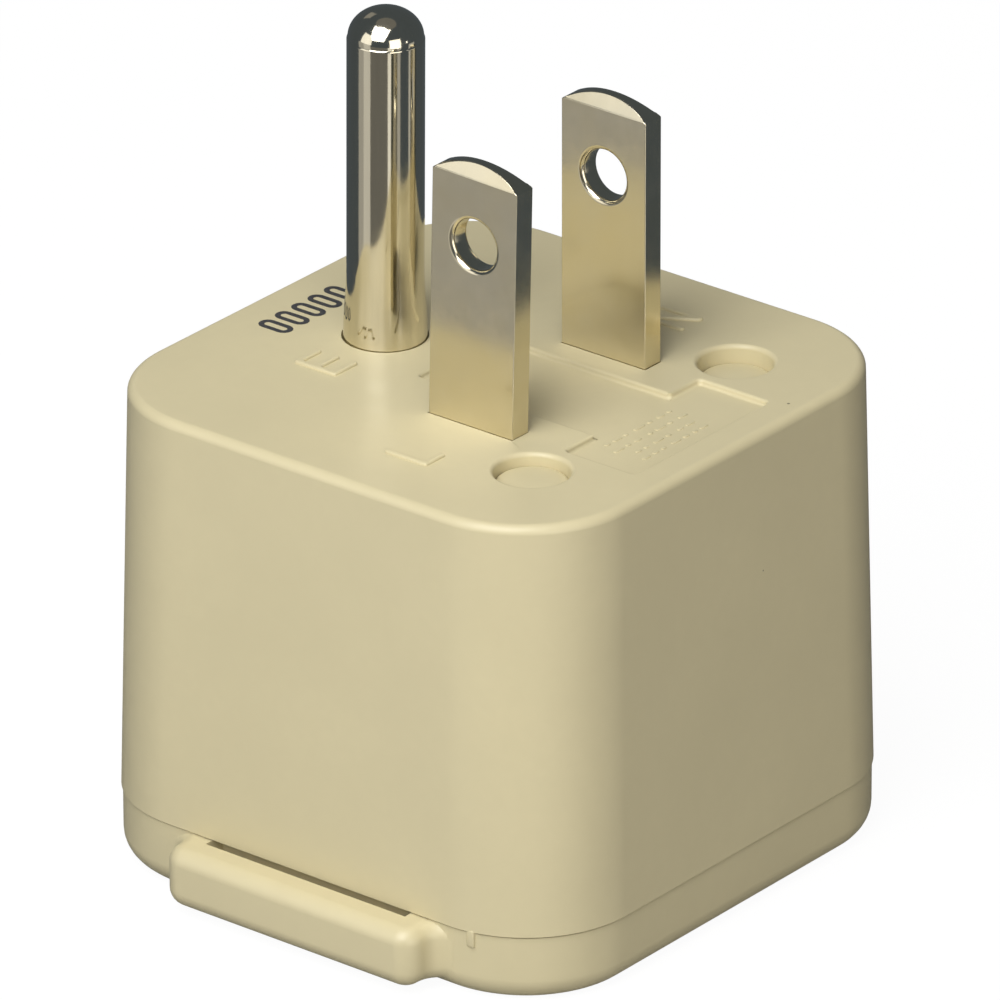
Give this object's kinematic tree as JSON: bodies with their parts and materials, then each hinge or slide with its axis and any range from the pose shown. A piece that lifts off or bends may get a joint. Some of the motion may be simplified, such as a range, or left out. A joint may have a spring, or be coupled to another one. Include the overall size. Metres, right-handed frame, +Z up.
{
  "type": "travel plug adapter",
  "caption": "Moulded travel adapter: multi-standard socket face underneath, flat blades and a round earth pin on top, and a slotted lip along one side.",
  "frame": {"origin": "middle of the adapter's outline, on the socket face that it stands on", "axes": "+Z up, the way the pins point; +X along the width of the blades, from the earth pin towards the two screw plugs; -Y towards the side with the slotted lip"},
  "size_m": [0.0368, 0.0392, 0.0524],
  "materials": {
    "shell_plastic": "satin",
    "inner_plastic": "matte",
    "nickel_plate": "polished",
    "brass_strip": "satin",
    "zinc_steel": "satin"
  },
  "bodies": {
    "root": {"housing": "shell_plastic", "socket_cover": "shell_plastic", "screw_plug_line": "shell_plastic", "screw_plug_neutral": "shell_plastic", "contact_carrier": "inner_plastic", "line_blade": "nickel_plate", "neutral_blade": "nickel_plate", "earth_pin": "nickel_plate", "line_contact": "brass_strip", "neutral_contact": "brass_strip", "earth_contact": "brass_strip", "earth_washer": "brass_strip", "line_rivet_1": "brass_strip", "line_rivet_2": "brass_strip", "neutral_rivet_1": "brass_strip", "neutral_rivet_2": "brass_strip", "carrier_screw_line": "zinc_steel", "carrier_screw_neutral": "zinc_steel"}
  },
  "joints": []
}
